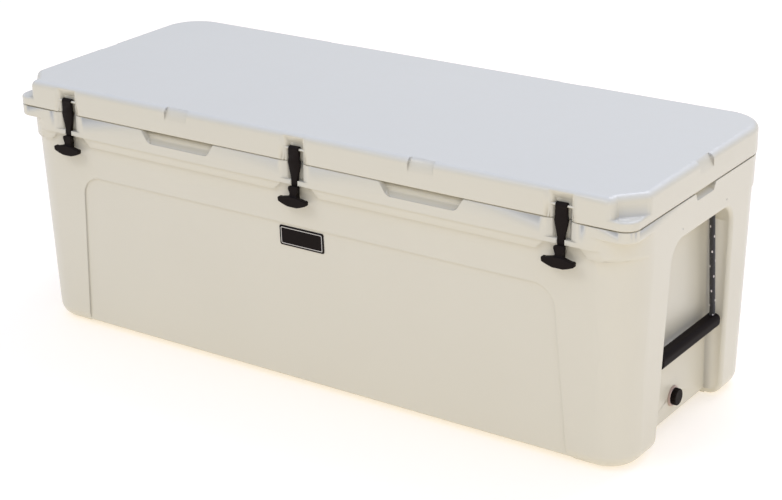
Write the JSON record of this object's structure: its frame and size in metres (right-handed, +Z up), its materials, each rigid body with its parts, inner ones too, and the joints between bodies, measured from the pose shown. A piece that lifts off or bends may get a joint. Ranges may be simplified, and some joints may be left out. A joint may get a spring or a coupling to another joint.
{
  "type": "ice chest",
  "caption": "Long insulated ice chest with a rear-hinged lid, three front T-latches, rope end handles and a screw-in drain plug.",
  "frame": {"origin": "on the floor, under the middle of the chest", "axes": "+Z up, +X along the length to the right as seen from the latch side, +Y from the latch side to the hinge side"},
  "size_m": [1.54, 0.63, 0.578],
  "materials": {
    "moulded_plastic": "fine satin texture",
    "black_rubber": "satin",
    "black_plastic": "satin",
    "pale_plastic": "satin",
    "seal_rubber": "matte",
    "rope": "woven, with pale flecks",
    "steel": "brushed",
    "foam": "matte cellular"
  },
  "bodies": {
    "tub": {"tub_shell": "moulded_plastic", "tub_foam": "foam", "hinge_rod_left": "steel", "hinge_rod_right": "steel", "rope_ends_left": "rope", "rope_ends_right": "rope", "rope_pins_left": "black_plastic", "rope_pins_right": "black_plastic", "drain_tube": "pale_plastic", "drain_nut": "black_plastic", "foot_front_left": "black_rubber", "foot_front_right": "black_rubber", "foot_rear_left": "black_rubber", "foot_rear_right": "black_rubber", "name_plate": "black_plastic"},
    "lid": {"lid_shell": "moulded_plastic", "lid_foam": "foam", "lid_gasket": "seal_rubber", "latch_pin_left": "steel", "latch_pin_centre": "steel", "latch_pin_right": "steel"},
    "latch_left_body": {"latch_left": "black_rubber"},
    "latch_centre_body": {"latch_centre": "black_rubber"},
    "latch_right_body": {"latch_right": "black_rubber"},
    "handle_left": {"handle_rope_left": "rope", "handle_grip_left": "black_plastic"},
    "handle_right": {"handle_rope_right": "rope", "handle_grip_right": "black_plastic"},
    "drain_washer_body": {"drain_washer": "pale_plastic"},
    "drain_plug_body": {"drain_plug": "black_plastic"}
  },
  "joints": [
    {"name": "lid_hinge", "type": "hinge", "parent": "tub", "child": "lid", "pos_m": [0, 0.305, 0.518], "axis": [-1, 0, 0], "range_deg": [0, 95]},
    {"name": "latch_left_swing", "type": "hinge", "parent": "lid", "child": "latch_left_body", "pos_m": [-0.62, -0.297, 0.546], "axis": [-1, 0, 0], "range_deg": [0, 110]},
    {"name": "latch_centre_swing", "type": "hinge", "parent": "lid", "child": "latch_centre_body", "pos_m": [0, -0.297, 0.546], "axis": [-1, 0, 0], "range_deg": [0, 110]},
    {"name": "latch_right_swing", "type": "hinge", "parent": "lid", "child": "latch_right_body", "pos_m": [0.62, -0.297, 0.546], "axis": [-1, 0, 0], "range_deg": [0, 110]},
    {"name": "handle_left_swing", "type": "hinge", "parent": "tub", "child": "handle_left", "pos_m": [-0.738, 0, 0.432], "axis": [0, 1, 0], "range_deg": [0, 90]},
    {"name": "handle_right_swing", "type": "hinge", "parent": "tub", "child": "handle_right", "pos_m": [0.738, 0, 0.432], "axis": [0, -1, 0], "range_deg": [0, 90]},
    {"name": "drain_slide", "type": "slide", "parent": "tub", "child": "drain_washer_body", "axis": [1, 0, 0], "range_m": [0, 0.03]},
    {"name": "drain_turn", "type": "hinge", "parent": "drain_washer_body", "child": "drain_plug_body", "pos_m": [0.72, 0.005, 0.055], "axis": [1, 0, 0], "range_deg": [0, 1100]}
  ],
  "couplings": [
    {"joint": "drain_turn", "follows": "drain_slide", "rad_per_m": 628.32}
  ]
}
